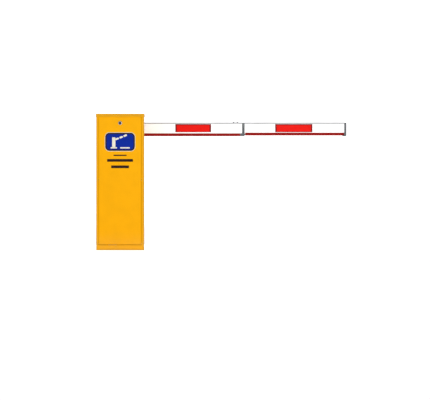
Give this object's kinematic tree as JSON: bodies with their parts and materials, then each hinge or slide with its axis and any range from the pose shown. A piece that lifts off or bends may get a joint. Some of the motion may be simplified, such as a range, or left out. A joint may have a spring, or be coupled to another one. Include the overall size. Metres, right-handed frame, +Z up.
{
  "type": "parking barrier gate",
  "caption": "Road barrier: upright steel cabinet with a worm-gear lift drive and a white folding arm with red reflective bands and a rubber lower edge.",
  "frame": {"origin": "centre of the cabinet's footprint on the ground", "axes": "+X along the lowered arm, -Y the service door, +Y the arm's side, +Z up"},
  "size_m": [1.8413, 0.3924, 1],
  "materials": {
    "cabinet_paint": "orange-yellow powder coat",
    "frame_paint": "dark grey powder coat",
    "zinc_steel": "zinc plated",
    "ground_steel": "ground steel",
    "chrome": "polished",
    "cast_housing": "cast, satin",
    "motor_paint": "dark blue-grey enamel",
    "gear_bronze": "machined bronze",
    "spring_steel": "black oiled spring steel",
    "black_rubber": "matte",
    "red_rubber": "matte dark red",
    "boom_white": "white powder coat on extruded aluminium",
    "tape_red": "reflective sheeting",
    "joint_grey": "grey coated die casting",
    "cap_grey": "moulded",
    "label_blue": "satin",
    "box_grey": "moulded",
    "terminal_grey": "moulded",
    "breaker_white": "moulded",
    "toggle_black": "moulded"
  },
  "bodies": {
    "cabinet": {"base_plate": "zinc_steel", "cabinet_body": "cabinet_paint", "top_cover": "cabinet_paint", "cover_screws": "chrome", "door_hinge_pins": "zinc_steel", "support_rails": "zinc_steel", "shelf_plate": "frame_paint", "front_plate": "frame_paint", "rear_plate": "frame_paint", "frame_spacers": "zinc_steel", "motor_cable": "black_rubber", "bearing_housings": "cast_housing", "shaft_bearings": "ground_steel", "shaft_seal": "black_rubber", "buffer_stops": "black_rubber", "position_sensors": "toggle_black", "gearbox_housing": "cast_housing", "gearbox_cover": "cast_housing", "motor_casing": "motor_paint", "motor_end_cover": "motor_paint", "balance_spring": "spring_steel", "spring_eye_bolt": "zinc_steel", "spring_post": "zinc_steel", "spring_nuts": "zinc_steel", "controller_box": "box_grey", "controller_lid": "box_grey", "terminal_block": "terminal_grey", "circuit_breaker": "breaker_white", "fold_anchor_stud": "zinc_steel"},
    "door": {"front_door": "cabinet_paint", "front_label": "label_blue", "lock_barrel": "chrome"},
    "lock": {"lock_plug": "chrome", "lock_cam": "zinc_steel"},
    "main_arm": {"main_shaft": "ground_steel", "shaft_lever": "ground_steel", "limit_cam": "zinc_steel", "boom_hub": "frame_paint", "shaft_end_bolt": "zinc_steel", "boom_clamp": "frame_paint", "clamp_bolts": "zinc_steel", "main_boom": "boom_white", "main_rubber_strip": "red_rubber", "main_tape": "tape_red", "main_end_cap": "joint_grey", "fold_hinge_pin": "joint_grey", "joint_screws": "joint_grey"},
    "outer_arm": {"outer_end_cap": "joint_grey", "outer_boom": "boom_white", "outer_rubber_strip": "red_rubber", "outer_tape": "tape_red", "boom_tip_cap": "cap_grey"},
    "fold_link": {"fold_rod": "zinc_steel"},
    "crank": {"worm_wheel": "gear_bronze", "output_shaft": "ground_steel", "crank_arm": "ground_steel"},
    "drive_link": {"connecting_rod": "zinc_steel"},
    "worm": {"worm_shaft": "ground_steel", "handwheel": "black_rubber"},
    "toggle": {"breaker_toggle": "toggle_black"}
  },
  "joints": [
    {"name": "arm_lift", "type": "hinge", "parent": "cabinet", "child": "main_arm", "pos_m": [0, 0.165, 0.868], "axis": [0, -1, 0], "range_deg": [0, 90], "deforming": ["balance_spring"]},
    {"name": "arm_fold", "type": "hinge", "parent": "main_arm", "child": "outer_arm", "pos_m": [0.903, 0.202, 0.851], "axis": [0, -1, 0], "range_deg": [-90, 0]},
    {"name": "fold_link_turn", "type": "hinge", "parent": "cabinet", "child": "fold_link", "pos_m": [-0.0368, 0.202, 0.9048], "axis": [0, -1, 0], "range_deg": [0, 90]},
    {"name": "crank_turn", "type": "hinge", "parent": "cabinet", "child": "crank", "pos_m": [0, 0, 0.64], "axis": [0, -1, 0], "range_deg": [0, 90]},
    {"name": "drive_link_turn", "type": "hinge", "parent": "crank", "child": "drive_link", "pos_m": [0.04243, -0.099, 0.59757], "axis": [0, -1, 0], "range_deg": [-90, 0]},
    {"name": "worm_turn", "type": "hinge", "parent": "cabinet", "child": "worm", "pos_m": [0.059, 0.01, 0.5], "axis": [0, 0, 1], "range_deg": [0, 2700]},
    {"name": "door_tilt", "type": "hinge", "parent": "cabinet", "child": "door", "pos_m": [0, -0.143, 0.0472], "axis": [1, 0, 0], "range_deg": [0, 30]},
    {"name": "lock_turn", "type": "hinge", "parent": "door", "child": "lock", "pos_m": [0, -0.142, 0.931], "axis": [0, -1, 0], "range_deg": [0, 90]},
    {"name": "breaker_switch", "type": "hinge", "parent": "cabinet", "child": "toggle", "pos_m": [0.04, 0.095, 0.09], "axis": [1, 0, 0], "range_deg": [-80, 0]}
  ],
  "couplings": [
    {"joint": "arm_fold", "follows": "arm_lift", "ratio": -1},
    {"joint": "fold_link_turn", "follows": "arm_lift", "ratio": 1},
    {"joint": "crank_turn", "follows": "arm_lift", "ratio": 1},
    {"joint": "drive_link_turn", "follows": "arm_lift", "ratio": -1},
    {"joint": "worm_turn", "follows": "arm_lift", "ratio": 30}
  ]
}
